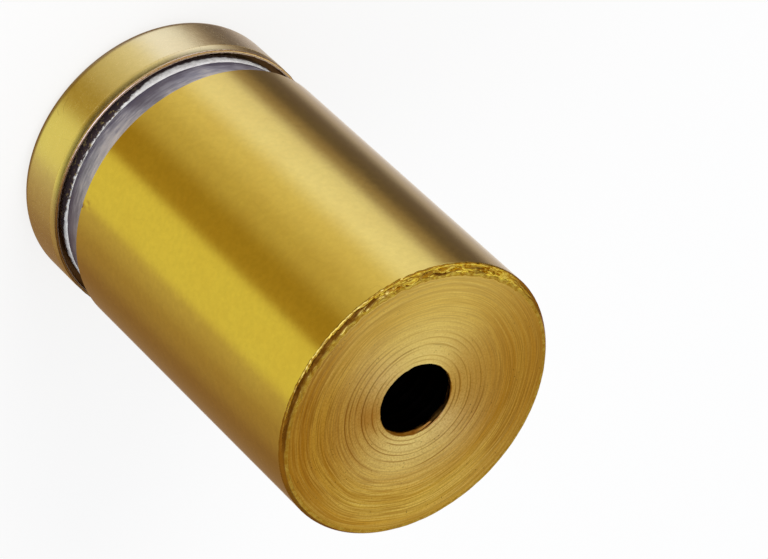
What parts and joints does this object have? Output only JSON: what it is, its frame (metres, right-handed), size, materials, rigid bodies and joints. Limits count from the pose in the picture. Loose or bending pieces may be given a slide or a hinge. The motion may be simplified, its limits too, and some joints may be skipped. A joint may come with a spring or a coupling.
{
  "type": "standoff spacer",
  "caption": "Round brass standoff that holds a panel off a wall: a turned barrel with a tapped end, plastic clamping washers, and a screw-on cap with a threaded stud.",
  "frame": {"origin": "centre of the cap's flat outer face, on which the standoff stands", "axes": "+Z along the barrel's axis, from the cap up to the wall end; X and Y are square to it, with no preferred direction on a round part"},
  "size_m": [0.019, 0.019, 0.0316],
  "materials": {
    "barrel_brass": "satin turned brass with fine tool marks, and a raw burred edge at the wall end",
    "cap_brass": "satin turned brass, lightly scratched",
    "stud_steel": "zinc-plated thread",
    "clear_plastic": "milky translucent, with a rough cut edge",
    "grey_plastic": "smooth dull grey, slightly soft"
  },
  "bodies": {
    "cap": {"cap": "cap_brass", "stud": "stud_steel", "cap_washer": "clear_plastic"},
    "washer": {"barrel_washer": "grey_plastic"},
    "barrel": {"barrel": "barrel_brass"}
  },
  "joints": [
    {"name": "washer_slide", "type": "slide", "parent": "cap", "child": "washer", "axis": [0, 0, 1], "range_m": [0, 0.007]},
    {"name": "barrel_turn", "type": "hinge", "parent": "washer", "child": "barrel", "pos_m": [0, 0, 0.007], "axis": [0, 0, 1], "range_deg": [0, 2520]}
  ],
  "couplings": [
    {"joint": "barrel_turn", "follows": "washer_slide", "rad_per_m": 6283.2}
  ]
}
